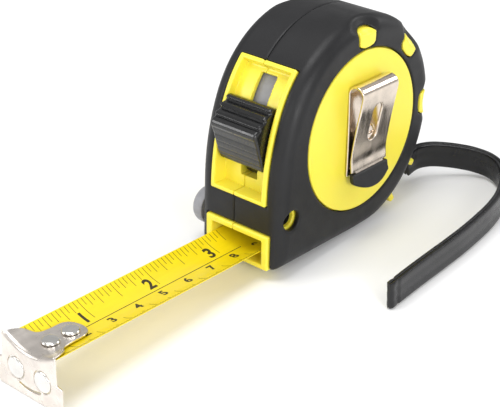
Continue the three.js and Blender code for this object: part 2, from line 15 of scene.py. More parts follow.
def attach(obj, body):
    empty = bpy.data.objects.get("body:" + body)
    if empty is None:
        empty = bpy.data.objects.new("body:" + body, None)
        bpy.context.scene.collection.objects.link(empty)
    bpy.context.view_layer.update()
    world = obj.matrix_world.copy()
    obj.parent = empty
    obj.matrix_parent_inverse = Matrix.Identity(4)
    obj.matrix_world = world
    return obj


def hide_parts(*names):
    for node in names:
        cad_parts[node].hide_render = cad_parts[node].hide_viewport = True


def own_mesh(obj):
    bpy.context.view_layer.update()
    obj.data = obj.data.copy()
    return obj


bl_info = {
    "name": "Pocket tape measure",
    "version": (1, 0, 0),
    "blender": (4, 5, 0),
    "location": "View3D > Sidebar > Tape",
    "description": "Builds a pocket tape measure around its packed model",
    "category": "Add Mesh",
}

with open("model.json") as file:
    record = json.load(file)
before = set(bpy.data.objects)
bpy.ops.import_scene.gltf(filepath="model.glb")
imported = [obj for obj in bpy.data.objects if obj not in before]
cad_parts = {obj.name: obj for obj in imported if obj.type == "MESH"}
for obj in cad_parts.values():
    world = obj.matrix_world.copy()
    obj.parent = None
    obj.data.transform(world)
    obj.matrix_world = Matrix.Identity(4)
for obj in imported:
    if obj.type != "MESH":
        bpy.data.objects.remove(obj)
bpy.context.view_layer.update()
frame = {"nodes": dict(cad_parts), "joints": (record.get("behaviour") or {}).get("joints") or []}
JOINTS = {joint["name"]: joint for joint in frame["joints"]}

PULL = np.array(JOINTS["blade_slide"]["axis"], float)
ACROSS = np.array([1.0, 0.0, 0.0])
BASIS = np.array([ACROSS, PULL, np.cross(ACROSS, PULL)])
DRUM_CENTRE = np.array(JOINTS["reel_spin"]["pos_m"], float)

# The strap's middle line over the surface that the tape stands on, in millimetres.
STRAP_ROUTE = np.array([
    [9.2, 76.5, 7.3], [9.6, 81.5, 8], [11.8, 85.6, 8.1], [15.2, 88.6, 7.9], [19.5, 92.1, 7.1], [24, 95.1, 6],
    [29.5, 96, 5.2], [35, 93.6, 4.8], [40.2, 87.4, 4.6], [44.3, 78.8, 4.5], [46.4, 71.3, 4.5],
    [47.6, 62.8, 4.5], [48.4, 52.8, 4.5], [48.7, 42.8, 4.5], [48.8, 32.8, 4.5], [49, 22.8, 4.5],
    [49.4, 13.8, 4.5],
])

# Millimetres about the drum's axis. SHOULDER, WINDOW_TOP and LUG_ANGLE are degrees about it.
BASE = -34.8
FRONT_Y = -38.7
SHOULDER = 155
SEAM_X = -1.5
SEAM_GAP = 0.06
WINDOW_HALF = 10.8
WINDOW_INNER = 9.3
WINDOW_TOP = 135.5
WINDOW_FOOT = -14.0
RECESS_R = 33.0
BLADE_Z = -31.7
BLADE_SAG = 0.0306
BLADE_END = -119.2
ZERO_Y = -120.63
HOOK_Z = BLADE_Z + 0.85
RIVET_Y = (-113.1, -105.9)
MAGNET_X = 5.35
MAGNET_Z = -37.0
SCREW = (-32.5, -18.8)
BRAKE = (-30.6, -25.9)
LUG_ANGLE = -46
MOUTH_HALF = 9.96
MOUTH_TOP = -25.3
BEZEL_HALF = 12.34
BEZEL_TOP = -23.4
RIVET_CHANNEL_HALF = 3.2
# The pads' angles about the drum's axis in degrees, and their radii.
PADS = ((90, 29.6), (45, 30.4), (0, 31.6))

# The camera's place in metres, its turn in degrees and its lens in millimetres.
CAMERA_PLACE = (0.25571, -0.26624, 0.23684)
CAMERA_TURN = (59.959, 2.011, 41.629)
CAMERA_LENS = 103.99
# Each lamp's name, place in metres, width in metres and power in watts.
LAMPS = (("key", (-0.1, -0.1, 1.1), 0.7, 6.5), ("side", (0.8, -0.3, 0.35), 0.35, 3.5),
         ("fill", (0.2, -0.85, 0.4), 0.4, 1.4), ("front", (-0.53, -0.63, 0.42), 0.3, 1.5),
         ("back", (0.45, 0.85, 0.5), 0.4, 2.0))
LAMPS_AIM = (0, 0.01, 0.03)


# ---- properties ----------------------------------------------------------------------------------

def linear(code):
    """An sRGB hex colour as linear red, green, blue and alpha."""
    values = np.array([int(code[i:i + 2], 16) for i in (1, 3, 5)]) / 255
    curve = np.where(values <= 0.04045, values / 12.92, ((values + 0.055) / 1.055) ** 2.4)
    return (*curve.tolist(), 1.0)


def length_property(name, description, millimetres):
    return bpy.props.FloatProperty(name=name, description=description, default=millimetres / 1000,
                                   unit="LENGTH")


def colour_property(name, description, code):
    return bpy.props.FloatVectorProperty(name=name, description=description, default=linear(code), size=4,
                                         subtype="COLOR", min=0, max=1)


class TapeSizes(bpy.types.PropertyGroup):
    """Sizes of the tape measure that can be changed."""
    jacket_radius: length_property("Jacket radius", "Radius of the case's round back", 35.6)
    half_width: length_property("Half width", "Half the width of the case over its jacket", 16.36)
    rim_radius: length_property("Rim radius", "Rounding of the jacket's rims", 4.8)
    disc_radius: length_property("Disc radius", "Radius of the flat side discs", 25.8)
    blade_half: length_property("Blade half width", "Half the blade's width", 9.52)
    blade_thickness: length_property("Blade thickness", "Thickness of the coated blade", 0.24)
    lock_half: length_property("Lock half width", "Half the width of the thumb lock", 8.8)
    clip_half: length_property("Clip half width", "Half the width of the belt clip", 8.6)
    strap_width: length_property("Strap width", "Width of the wrist strap's ribbon", 8.6)


class TapeColours(bpy.types.PropertyGroup):
    """Colours of the tape measure that can be changed."""
    case: colour_property("Case", "Moulded ABS of the case", "#F6E648")
    jacket: colour_property("Jacket", "Overmoulded elastomer", "#171719")
    lock: colour_property("Lock", "Moulded acetal of the thumb lock", "#121213")
    blade: colour_property("Blade", "Enamel of the blade", "#F4DA10")
    print_ink: colour_property("Print", "Ink of the scale", "#2A2410")
    slider: colour_property("Slider", "Grey acetal of the slider and side brake", "#929296")
    strap: colour_property("Strap", "Coated ribbon of the strap", "#131315")
    floor: colour_property("Floor", "Studio floor", "#F7F7F7")


def sizes(name):
    """One of the sizes, in millimetres."""
    return getattr(bpy.context.scene.tape_sizes, name) * 1000


def colour(name):
    return tuple(getattr(bpy.context.scene.tape_colours, name))


# ---- shapes --------------------------------------------------------------------------------------

def to_row(points):
    """Points in millimetres about the drum's axis, turned and moved into the row frame in metres."""
    return DRUM_CENTRE + (np.asarray(points, float) @ BASIS) / 1000


def polar(angle, r):
    """The point (y, z) at an angle in degrees and a radius about the drum's axis."""
    turn = np.radians(angle)
    return np.stack([r * np.cos(turn), r * np.sin(turn)], axis=-1)


def radial(y, z, angle):
    """The coordinates outwards and around at an angle: the plane's axes turned by that angle."""
    c, s = np.cos(np.radians(angle)), np.sin(np.radians(angle))
    return y * c + z * s, z * c - y * s


def beyond(y, z, angle):
    """Negative where a point lies past the ray at an angle, turning upwards from the back over the top."""
    return -radial(y, z, angle)[1]


def smooth_max(a, b, k):
    """The larger of two distances, with a fillet about k wide where they are equal."""
    h = np.clip(0.5 + 0.5 * (a - b) / k, 0, 1)
    return b + (a - b) * h + k * h * (1 - h)


def carve(body, tool, k=0.4):
    """body with tool taken away, its new edges eased over k."""
    return smooth_max(body, -tool, k)


def fuse(first, *rest):
    """The union: the smallest of the distances."""
    for other in rest:
        first = np.minimum(first, other)
    return first


def rounded(r, *faces):
    """The shape inside every face, its outer edges rounded to r: the length of what lies past the faces
    when they are drawn in by r."""
    inner = faces[0]
    for face in faces[1:]:
        inner = np.maximum(inner, face)
    outside = sum(np.maximum(face + r, 0) ** 2 for face in faces)
    return np.sqrt(outside) + np.minimum(inner + r, 0) - r


def polygon_distance(u, v, corners):
    """Distance to a closed polygon's nearest edge, negative inside it by the count of edges crossed."""
    u, v = np.broadcast_arrays(u, v)
    flat_u, flat_v = u.reshape(-1, 1), v.reshape(-1, 1)
    a = np.asarray(corners, float)
    edge = np.roll(a, -1, axis=0) - a
    du, dv = flat_u - a[:, 0], flat_v - a[:, 1]
    t = np.clip((du * edge[:, 0] + dv * edge[:, 1]) / (edge ** 2).sum(1), 0, 1)
    distance = np.sqrt(((du - t * edge[:, 0]) ** 2 + (dv - t * edge[:, 1]) ** 2).min(1))
    b = a + edge
    straddles = (a[:, 1] > flat_v) != (b[:, 1] > flat_v)
    with np.errstate(divide="ignore", invalid="ignore"):
        crossing = a[:, 0] + (flat_v - a[:, 1]) / (b[:, 1] - a[:, 1]) * edge[:, 0]
    inside = (straddles & (flat_u < crossing)).sum(1) % 2 == 1
    return np.where(inside, -distance, distance).reshape(u.shape)


def line_distance(u, v, corners):
    """Distance to an open line of points."""
    u, v = np.broadcast_arrays(u, v)
    a = np.asarray(corners, float)
    edge = a[1:] - a[:-1]
    du, dv = u.reshape(-1, 1) - a[:-1, 0], v.reshape(-1, 1) - a[:-1, 1]
    t = np.clip((du * edge[:, 0] + dv * edge[:, 1]) / (edge ** 2).sum(1), 0, 1)
    return np.sqrt(((du - t * edge[:, 0]) ** 2 + (dv - t * edge[:, 1]) ** 2).min(1)).reshape(u.shape)


def case_outline(y, z):
    """Distance to the case's side outline without its base: a circle behind, and ahead of the shoulder the
    farthest of the planes tangent to a quadratic curve that runs down into a nearly upright front."""
    r = sizes("jacket_radius")
    start, control, end = polar(SHOULDER, r), np.array([FRONT_Y + 0.5, 2.3]), np.array([FRONT_Y + 0.3, -14.0])
    t = np.linspace(0, 1, 40)[:, None]
    points = (1 - t) ** 2 * start + 2 * t * (1 - t) * control + t ** 2 * end
    tangents = (1 - t) * (control - start) + t * (end - control)
    tangents[-1] = (FRONT_Y - end[0], BASE - end[1])
    normals = np.stack([tangents[:, 1], -tangents[:, 0]], 1) / np.linalg.norm(tangents, axis=1)[:, None]
    offsets = (points * normals).sum(1)
    y, z = np.broadcast_arrays(y, z)
    planes = (y[..., None] * normals[:, 0] + z[..., None] * normals[:, 1] - offsets).max(-1)
    ahead = (beyond(y, z, SHOULDER) < 0) & (y < 0)
    return np.where(ahead, planes, np.hypot(y, z) - r)


def side(y, z, inset=0.0, base=0.0):
    """The side outline drawn in by inset, standing base above the floor of the case."""
    return np.maximum(case_outline(y, z) + inset, BASE + base - z)


def skin(field, low, high, step):
    """Surface nets: one vertex in every grid cell that the surface crosses, at the mean of its crossings,
    one quad for every crossed grid edge, and two steps down the field's slope to settle on the surface."""
    axes = [np.arange(a - 1.5 * step, b + 2 * step, step) for a, b in zip(low, high)]
    grid = np.ix_(*axes)
    values = np.broadcast_to(field(*grid), [len(axis) for axis in axes])
    inside = values < 0
    cells = np.array(values.shape) - 1
    owners, points, quads = [], [], []
    for axis in range(3):
        lower = [slice(None)] * 3
        upper = [slice(None)] * 3
        lower[axis], upper[axis] = slice(None, -1), slice(1, None)
        low_in, high_in = inside[tuple(lower)], inside[tuple(upper)]
        index = np.argwhere(low_in != high_in)
        f0 = values[tuple(lower)][tuple(index.T)]
        f1 = values[tuple(upper)][tuple(index.T)]
        point = index.astype(float)
        point[:, axis] += f0 / (f0 - f1)
        right, up = (axis + 1) % 3, (axis + 2) % 3
        ring = np.repeat(index[:, None], 4, axis=1)
        ring[:, (0, 3), right] -= 1
        ring[:, (0, 1), up] -= 1
        cell = (ring[..., 0] * cells[1] + ring[..., 1]) * cells[2] + ring[..., 2]
        leaving = low_in[tuple(index.T)]
        quads.append(np.where(leaving[:, None], cell, cell[:, ::-1]))
        owners.append(cell.reshape(-1))
        points.append(np.repeat(point, 4, axis=0))
    owners, points, quads = np.concatenate(owners), np.concatenate(points), np.concatenate(quads)
    used, compact = np.unique(owners, return_inverse=True)
    count = np.bincount(compact)
    vertices = np.stack([np.bincount(compact, points[:, k]) / count for k in range(3)], 1)
    vertices = np.array([axis[0] for axis in axes]) + vertices * step
    reach = 0.3 * step
    for _ in range(2):
        slope = np.stack([field(*(vertices + shift).T) - field(*(vertices - shift).T)
                          for shift in reach * np.eye(3)], 1) / (2 * reach)
        move = field(*vertices.T) / np.maximum((slope ** 2).sum(1), 0.25)
        vertices -= np.clip(move, -0.4 * step, 0.4 * step)[:, None] * slope
    return vertices, [np.searchsorted(used, quads)]


def tube(rings, caps=True, closed=False):
    """Quads between each ring of points and the next, with the first and last ring filled."""
    rows, count = rings.shape[:2]
    i = np.arange(rows if closed else rows - 1)[:, None]
    j = np.arange(count)[None]
    k = (j + 1) % count
    n = (i + 1) % rows
    quads = np.stack([i * count + j, n * count + j, n * count + k, i * count + k], -1).reshape(-1, 4)
    faces = [quads]
    if caps and not closed:
        faces += [np.arange(count)[None], ((rows - 1) * count + np.arange(count))[::-1][None]]
    return rings.reshape(-1, 3), faces


def turned(profile, centre, axis, segments=72):
    """A profile of (height, radius) points, both ends on the axis, turned round it: each point goes to its
    radius times the cosine and sine of the turn."""
    profile = np.asarray(profile, float)
    turn = np.linspace(0, 2 * np.pi, segments, endpoint=False)
    first, second = (axis + 1) % 3, (axis + 2) % 3
    rings = np.zeros((len(profile), segments, 3))
    rings[..., axis] = profile[:, :1]
    rings[..., first] = profile[:, 1:] * np.cos(turn)
    rings[..., second] = profile[:, 1:] * np.sin(turn)
    return tube(rings[:, ::-1] + np.asarray(centre, float))


def smooth_line(points, count):
    """A Catmull-Rom spline through the points, sampled evenly in its parameter."""
    points = np.asarray(points, float)
    padded = np.vstack([2 * points[0] - points[1], points, 2 * points[-1] - points[-2]])
    t = np.linspace(0, len(points) - 1, count)
    i = np.minimum(t.astype(int), len(points) - 2)
    u = (t - i)[:, None]
    p0, p1, p2, p3 = (padded[i + k] for k in range(4))
    return 0.5 * (2 * p1 + (p2 - p0) * u + (2 * p0 - 5 * p1 + 4 * p2 - p3) * u ** 2
                  + (3 * p1 - p0 - 3 * p2 + p3) * u ** 3)


def build_mesh(name, vertices, faces):
    """A mesh from points in metres and lists of faces that have the same number of corners."""
    mesh = bpy.data.meshes.new(name)
    corners = np.concatenate([f.reshape(-1) for f in faces])
    totals = np.concatenate([np.full(len(f), f.shape[1]) for f in faces])
    starts = np.concatenate([[0], np.cumsum(totals)[:-1]])
    mesh.vertices.add(len(vertices))
    mesh.vertices.foreach_set("co", np.ascontiguousarray(vertices, dtype=np.float32).reshape(-1))
    mesh.loops.add(len(corners))
    mesh.loops.foreach_set("vertex_index", corners.astype(np.int32))
    mesh.polygons.add(len(totals))
    mesh.polygons.foreach_set("loop_start", starts.astype(np.int32))
    mesh.polygons.foreach_set("loop_total", totals.astype(np.int32))
    mesh.update(calc_edges=True)
    mesh.validate()
    return mesh


def piece(name, shape, finish, body, replaced=(), sharp=50, in_row=False):
    """An object from a shape, riding on a body and standing for the CAD nodes that it replaces."""
    vertices, faces = shape
    mesh = build_mesh(name, vertices if in_row else to_row(vertices), faces)
    mesh.shade_smooth()
    mesh.set_sharp_from_angle(angle=np.radians(sharp))
    mesh.materials.append(finish)
    obj = bpy.data.objects.new(name, mesh)
    bpy.context.scene.collection.objects.link(obj)
    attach(obj, body)
    if replaced:
        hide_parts(*replaced)
    return obj


def joined(*shapes):
    """Several shapes as one."""
    vertices, faces, start = [], [], 0
    for points, lists in shapes:
        vertices.append(points)
        faces += [f + start for f in lists]
        start += len(points)
    return np.concatenate(vertices), faces


# ---- materials -----------------------------------------------------------------------------------

def add(tree, kind, inputs=None, **settings):
    """Adds a node, sets its settings, and sets or links its inputs."""
    made = tree.nodes.new(kind)
    for key, value in settings.items():
        setattr(made, key, value)
    for key, value in (inputs or {}).items():
        if isinstance(value, bpy.types.NodeSocket):
            tree.links.new(value, made.inputs[key])
        else:
            made.inputs[key].default_value = value
    return made


def material(name, build):
    """The material of that name, made once by build, which returns the surface shader's inputs."""
    found = bpy.data.materials.get(name)
    if found:
        return found
    found = bpy.data.materials.new(name)
    found.use_nodes = True
    tree = found.node_tree
    tree.nodes.clear()
    place = add(tree, "ShaderNodeTexCoord").outputs["Object"]
    shader = add(tree, "ShaderNodeBsdfPrincipled", build(tree, place))
    add(tree, "ShaderNodeOutputMaterial", {"Surface": shader.outputs["BSDF"]})
    return found


def noise(tree, place, millimetres, detail=3.0):
    """Noise whose features are about that many millimetres across."""
    return add(tree, "ShaderNodeTexNoise", {"Vector": place, "Scale": 1000 / millimetres, "Detail": detail,
                                            "Roughness": 0.55}).outputs["Fac"]


def ramp(tree, value, low, high, to_low, to_high):
    return add(tree, "ShaderNodeMapRange", {"Value": value, "From Min": low, "From Max": high,
                                            "To Min": to_low, "To Max": to_high}).outputs["Result"]


def blend_colours(tree, factor, first, second):
    return add(tree, "ShaderNodeMix", {"Factor": factor, 6: first, 7: second}, data_type="RGBA").outputs[2]


def bump(tree, height, depth_mm, strength=1.0):
    return add(tree, "ShaderNodeBump", {"Height": height, "Distance": depth_mm / 1000,
                                        "Strength": strength}).outputs["Normal"]


def shaded(rgba, factor):
    return (*[min(c * factor, 1.0) for c in rgba[:3]], 1.0)


def moulded_abs():
    """Injection-moulded ABS, lightly polished: a clean satin gloss with a faint orange-peel."""
    def build(tree, place):
        tone = colour("case")
        mottle = noise(tree, place, 9)
        return {"Base Color": blend_colours(tree, mottle, shaded(tone, 0.96), shaded(tone, 1.03)),
                "Roughness": ramp(tree, noise(tree, place, 2.5), 0.3, 0.7, 0.3, 0.4), "IOR": 1.54,
                "Subsurface Weight": 0.25, "Subsurface Radius": (0.003, 0.0018, 0.0004),
                "Normal": bump(tree, noise(tree, place, 1.2), 0.02)}
    return material("Moulded ABS", build)


def overmoulded_rubber():
    """Thermoplastic elastomer overmould: spark-eroded texture gives a broad soft sheen, greyer in places."""
    def build(tree, place):
        tone = colour("jacket")
        cloudy = noise(tree, place, 12)
        return {"Base Color": blend_colours(tree, ramp(tree, cloudy, 0.35, 0.7, 0, 1), shaded(tone, 0.9),
                                            shaded(tone, 1.25)),
                "Roughness": ramp(tree, noise(tree, place, 5), 0.3, 0.7, 0.4, 0.52), "IOR": 1.42,
                "Normal": bump(tree, noise(tree, place, 0.45, 2), 0.045)}
    return material("Overmoulded rubber", build)


def moulded_acetal(name, key, gloss, coat=0.0):
    """Moulded acetal: waxy, with fine flow marks."""
    def build(tree, place):
        tone = colour(key)
        marks = noise(tree, place, 1.6)
        return {"Base Color": blend_colours(tree, marks, shaded(tone, 0.85), shaded(tone, 1.15)),
                "Roughness": ramp(tree, noise(tree, place, 3), 0.3, 0.7, gloss, gloss + 0.12), "IOR": 1.48,
                "Coat Weight": coat, "Coat Roughness": 0.12,
                "Normal": bump(tree, noise(tree, place, 0.8), 0.015)}
    return material(name, build)


def stretched(tree, place, scale):
    return add(tree, "ShaderNodeMapping", {"Vector": place, "Scale": scale}).outputs["Vector"]


def plated_steel(name, tone, rough, grain, scale, waviness=0.01):
    """Nickel-plated pressed steel: rolling grain under the plate draws reflections out along the strip."""
    def build(tree, place):
        streaks = noise(tree, stretched(tree, place, scale), grain, 4)
        stains = noise(tree, place, 4)
        return {"Base Color": blend_colours(tree, ramp(tree, stains, 0.35, 0.65, 0, 1),
                                            shaded(linear(tone), 0.86), linear(tone)),
                "Metallic": 1.0, "Roughness": ramp(tree, streaks, 0.3, 0.7, rough, rough + 0.14),
                "Normal": bump(tree, streaks, waviness)}
    return material(name, build)


def blade_enamel():
    """Stove enamel under a clear nylon film: saturated yellow with a hard, slightly rippled gloss."""
    def build(tree, place):
        tone = colour("blade")
        worn = noise(tree, stretched(tree, place, (1, 0.2, 1)), 2.2)
        return {"Base Color": blend_colours(tree, ramp(tree, worn, 0.3, 0.7, 0, 1), shaded(tone, 0.93), tone),
                "Roughness": ramp(tree, noise(tree, place, 3), 0.3, 0.7, 0.3, 0.42), "IOR": 1.53,
                "Coat Weight": 0.3, "Coat Roughness": 0.15,
                "Normal": bump(tree, noise(tree, place, 1.5), 0.008)}
    return material("Blade enamel", build)


def scale_ink():
    """Printed ink, thin in places."""
    def build(tree, place):
        tone = colour("print_ink")
        return {"Base Color": blend_colours(tree, noise(tree, place, 0.6), tone, shaded(tone, 2.2)),
                "Roughness": ramp(tree, noise(tree, place, 1), 0.3, 0.7, 0.4, 0.5), "IOR": 1.5}
    return material("Scale ink", build)


def coated_ribbon():
    """Polyester ribbon with a PVC coating: woven ribs about 0.3 mm apart under a soft plastic gloss. The wave
    texture repeats every pi / 10 of its coordinate, which is in millimetres here."""
    def build(tree, place):
        tone = colour("strap")
        along = add(tree, "ShaderNodeUVMap").outputs["UV"]
        ribs = add(tree, "ShaderNodeTexWave",
                   {"Vector": along, "Scale": 1.0, "Distortion": 0.4, "Detail": 1.0},
                   wave_type="BANDS", bands_direction="Y", wave_profile="SIN").outputs["Fac"]
        faded = noise(tree, place, 8)
        return {"Base Color": blend_colours(tree, ramp(tree, faded, 0.35, 0.65, 0, 1), shaded(tone, 0.8),
                                            shaded(tone, 1.4)),
                "Roughness": ramp(tree, noise(tree, place, 6), 0.35, 0.65, 0.14, 0.28), "IOR": 1.46,
                "Normal": bump(tree, ribs, 0.02)}
    return material("Coated ribbon", build)


def plain_metal(name, tone, rough):
    """Turned or wound steel, left plain."""
    def build(tree, place):
        return {"Base Color": blend_colours(tree, noise(tree, place, 2), shaded(linear(tone), 0.85),
                                            linear(tone)),
                "Metallic": 1.0,
                "Roughness": ramp(tree, noise(tree, place, 1), 0.3, 0.7, rough, rough + 0.12)}
    return material(name, build)


def studio_floor():
    """Seamless paper: pale, matt and very slightly mottled."""
    def build(tree, place):
        tone = colour("floor")
        return {"Base Color": blend_colours(tree, noise(tree, place, 60), shaded(tone, 0.99), tone),
                "Roughness": 0.9, "IOR": 1.4}
    return material("Seamless paper", build)


def nickel():
    return plated_steel("Nickel plate", "#F1E9E1", 0.24, 1.6, (1, 0.25, 1), 0.02)


# ---- pieces --------------------------------------------------------------------------------------

def window_zone(y, z, top, foot):
    """Negative in the part of the front between the ray at top and the height foot."""
    return np.maximum(np.maximum(beyond(y, z, top), foot - z), y)


def pad_outline(out, around, grow):
    """Distance to a pad's outline: a superellipse of power three, between a box and an oval."""
    a, b = 2.7 + grow, 3.8 + grow
    norm = ((np.abs(out) / a) ** 3 + (np.abs(around) / b) ** 3) ** (1 / 3)
    return (norm - 1) * a


def jacket_shape(sign):
    """Half of the rubber jacket: the rounded bulk of the case, hollowed and opened for what shows through."""
    half = sizes("half_width")
    inner = half - 2

    def field(x, y, z):
        reach = np.abs(x)
        body = rounded(sizes("rim_radius"), smooth_max(case_outline(y, z), BASE - z, 1.5), reach - half)
        for angle, r_pad in PADS:
            out, around = radial(y, z, angle)
            body = carve(body, np.sqrt((reach - half - 6.6) ** 2 + (out - 40) ** 2 + around ** 2) - 11.8, 0.9)
            body = carve(body, np.maximum(pad_outline(out - r_pad, around, 0.3), half - 4.3 - reach), 0.5)
        body = carve(body, rounded(3.6, side(y, z, 2, 1), reach - inner), 0.2)
        body = carve(body, np.hypot(y, z) - sizes("disc_radius") - 0.3, 0.7)
        body = carve(body, np.maximum(window_zone(y, z, WINDOW_TOP - 0.5, WINDOW_FOOT - 0.3),
                                      reach - WINDOW_HALF - 0.3), 0.5)
        body = carve(body, rounded(0.3, reach - BEZEL_HALF - 0.3, y + 33.7, z - BEZEL_TOP - 0.3), 0.5)
        body = carve(body, np.maximum(np.hypot(y - SCREW[0], z - SCREW[1]) - 3.25, -x), 0.6)
        body = carve(body, np.maximum(np.hypot(y - BRAKE[0], z - BRAKE[1]) - 6.4, x), 0.6)
        out, around = radial(y, z, LUG_ANGLE)
        body = carve(body, np.maximum(np.maximum(np.abs(out - 38) - 6, np.abs(around) - 9.3),
                                      np.abs(x - 9) - 5.3), 0.5)
        return smooth_max(body, sign * (SEAM_X - x) + SEAM_GAP, 0.3)

    low, high = (SEAM_X, half) if sign > 0 else (-half, SEAM_X)
    return skin(field, (low, FRONT_Y, BASE), (high, 35.8, 35.8), 0.45)


def case_shape(sign):
    """Half of the yellow case: a shell with side discs, pads, window frame, blade mouth and strap lug."""
    half = sizes("half_width")

    def field(x, y, z):
        reach = np.abs(x)
        r = np.hypot(y, z)
        shell = rounded(3.9, side(y, z, 2.3, 1.3), reach - half + 2.3)
        disc = rounded(0.5, r - sizes("disc_radius"), reach - half)
        outer_skin = rounded(sizes("rim_radius"), side(y, z) - 0.15, reach - half - 0.15)
        body = carve(fuse(shell, disc), np.maximum(side(y, z, 4.2, 3), reach - 12.1), 0.2)
        body = carve(body, np.maximum(r - sizes("disc_radius") + 2, reach - half + 2), 0.2)
        for angle, r_pad in PADS:
            out, around = radial(y, z, angle)
            bar = pad_outline(out - r_pad, around, 0)
            scoop = 11.3 - np.sqrt((reach - half - 6.6) ** 2 + (out - 40) ** 2 + around ** 2)
            body = fuse(body, np.maximum(np.maximum(bar, outer_skin), np.maximum(half - 4.3 - reach, scoop)))
        window = rounded(0.5, case_outline(y, z) - 0.6, reach - WINDOW_HALF)
        window = np.maximum(np.maximum(window, window_zone(y, z, WINDOW_TOP, WINDOW_FOOT)), 31.4 - r)
        bezel = rounded(0.5, reach - BEZEL_HALF, FRONT_Y - 0.6 - y, y + 34, BASE - z, z - BEZEL_TOP)
        body = fuse(body, window, bezel)
        boss = np.maximum(np.hypot(y - SCREW[0], z - SCREW[1]) - 3.7, np.abs(reach - 10.1) - 2.9)
        for turn in (-10.5, 10.5):
            out, around = radial(y, z, LUG_ANGLE + turn)
            ear = rounded(0.6, np.abs(out - 35.4) - 3.5, np.abs(around) - 1.1, np.abs(x - 9.25) - 4.75)
            body = fuse(body, ear)
        body = fuse(body, boss)
        foot_floor = -4.3 - case_outline(y, z) - 2 * np.maximum(z + 5.5, 0)
        recess = np.maximum(np.maximum(window_zone(y, z, WINDOW_TOP + 2, WINDOW_FOOT + 1.4),
                                       reach - WINDOW_INNER), np.maximum(RECESS_R - r, foot_floor))
        slot = np.maximum(np.maximum(beyond(y, z, 140), -9.2 - z), np.maximum(reach - 3.2, r - 37))
        mouth = np.maximum(np.maximum(reach - MOUTH_HALF, y + 34.2), np.maximum(-33.2 - z, z - MOUTH_TOP))
        throat = np.maximum(np.maximum(reach - MOUTH_HALF, y + 8), np.maximum(-32.3 - z, z - MOUTH_TOP))
        channel = np.maximum(np.maximum(reach - RIVET_CHANNEL_HALF, y + 20),
                             np.maximum(-32.9 - z, z - MOUTH_TOP))
        body = carve(body, fuse(recess, np.maximum(slot, y), mouth, throat, channel), 0.35)
        body = carve(body, np.maximum(np.hypot(y - SCREW[0], z - SCREW[1]) - 2.8, half - 4.9 - x), 0.3)
        body = carve(body, np.maximum(np.hypot(y - BRAKE[0], z - BRAKE[1]) - 4.9, x + 11.6), 0.3)
        return smooth_max(body, sign * (SEAM_X - x) + SEAM_GAP, 0.3)

    low, high = (SEAM_X, half + 0.2) if sign > 0 else (-half - 0.2, SEAM_X)
    return skin(field, (low, FRONT_Y - 0.6, BASE), (high, 35.8, 36.2), 0.45)


def blade_surface(x, y, lift):
    """Height of the blade: its middle, raised to the edges by a parabola, and rising to the coil inside."""
    bend = np.clip((y + 31) / 28, 0, 1)
    bend = bend * bend * (3 - 2 * bend)
    return BLADE_Z + lift + (-25.1 - BLADE_Z) * bend + BLADE_SAG * x * x * (1 - bend)


def blade_shape():
    """A cross-curved section, upper line out and lower line back, carried from the hook to the coil."""
    half, thick = sizes("blade_half"), sizes("blade_thickness")
    y = np.concatenate([np.linspace(BLADE_END, -31, 60), np.linspace(-30, -3, 24)])[:, None]
    x = np.linspace(-half, half, 41)
    edge = np.cos(np.linspace(-np.pi / 2, np.pi / 2, 7))[1:-1]
    upper = np.concatenate([x, half + 0.05 * edge, x[::-1], -half - 0.05 * edge])
    levels = np.concatenate([np.ones(41), np.linspace(0.7, -0.7, 5), -np.ones(41), np.linspace(-0.7, 0.7, 5)])
    height = blade_surface(upper[None], y, levels * thick / 2)
    return tube(np.stack(np.broadcast_arrays(upper[None], y, height), -1))


def tick_shape(y, x0, x1, width, lift):
    """Printed lines: a low bar for each, following the blade's cross-curve in eight steps."""
    y, x0, x1 = (np.broadcast_to(v, np.shape(y)).astype(float) for v in (y, x0, x1))
    t = np.linspace(0, 1, 9)
    x = x0[:, None] + (x1 - x0)[:, None] * t
    corners_y = np.array([-0.5, 0.5, 0.5, -0.5]) * width
    levels = np.array([0.03, 0.03, 0, 0]) + lift
    yy = y[:, None, None] + corners_y
    xx = np.broadcast_to(x[..., None], (*x.shape, 4))
    rings = np.stack(np.broadcast_arrays(xx, yy, blade_surface(xx, yy, levels)), -1)
    return joined(*[tube(ring) for ring in rings])


def digit_shape(text, size, x, y, lift):
    """A numeral filled and cut into narrow bands, its foot to the clip side, laid on the blade's curve."""
    curve = bpy.data.curves.new(text, "FONT")
    curve.body, curve.size, curve.extrude, curve.offset = text, size, 0.015, 0.03 * size
    curve.align_x = curve.align_y = "CENTER"
    holder = bpy.data.objects.new(text, curve)
    bpy.context.scene.collection.objects.link(holder)
    bpy.context.view_layer.update()
    mesh = bpy.data.meshes.new_from_object(holder)
    bpy.data.objects.remove(holder)
    shape = bmesh.new()
    shape.from_mesh(mesh)
    bmesh.ops.remove_doubles(shape, verts=shape.verts, dist=1e-4)
    for cut in np.arange(-size / 2, size / 2, 0.4):
        bmesh.ops.bisect_plane(shape, geom=[*shape.verts, *shape.edges, *shape.faces], plane_co=(0, cut, 0),
                               plane_no=(0, 1, 0))
    bmesh.ops.triangulate(shape, faces=shape.faces)
    shape.to_mesh(mesh)
    shape.free()
    co = np.zeros(len(mesh.vertices) * 3)
    mesh.vertices.foreach_get("co", co)
    co = co.reshape(-1, 3)
    faces = np.zeros(len(mesh.loops), int)
    mesh.loops.foreach_get("vertex_index", faces)
    bpy.data.meshes.remove(mesh)
    bpy.data.curves.remove(curve)
    px, py = x - co[:, 1], y + co[:, 0]
    return np.stack([px, py, blade_surface(px, py, co[:, 2] + lift + 0.015)], 1), [faces.reshape(-1, 3)]


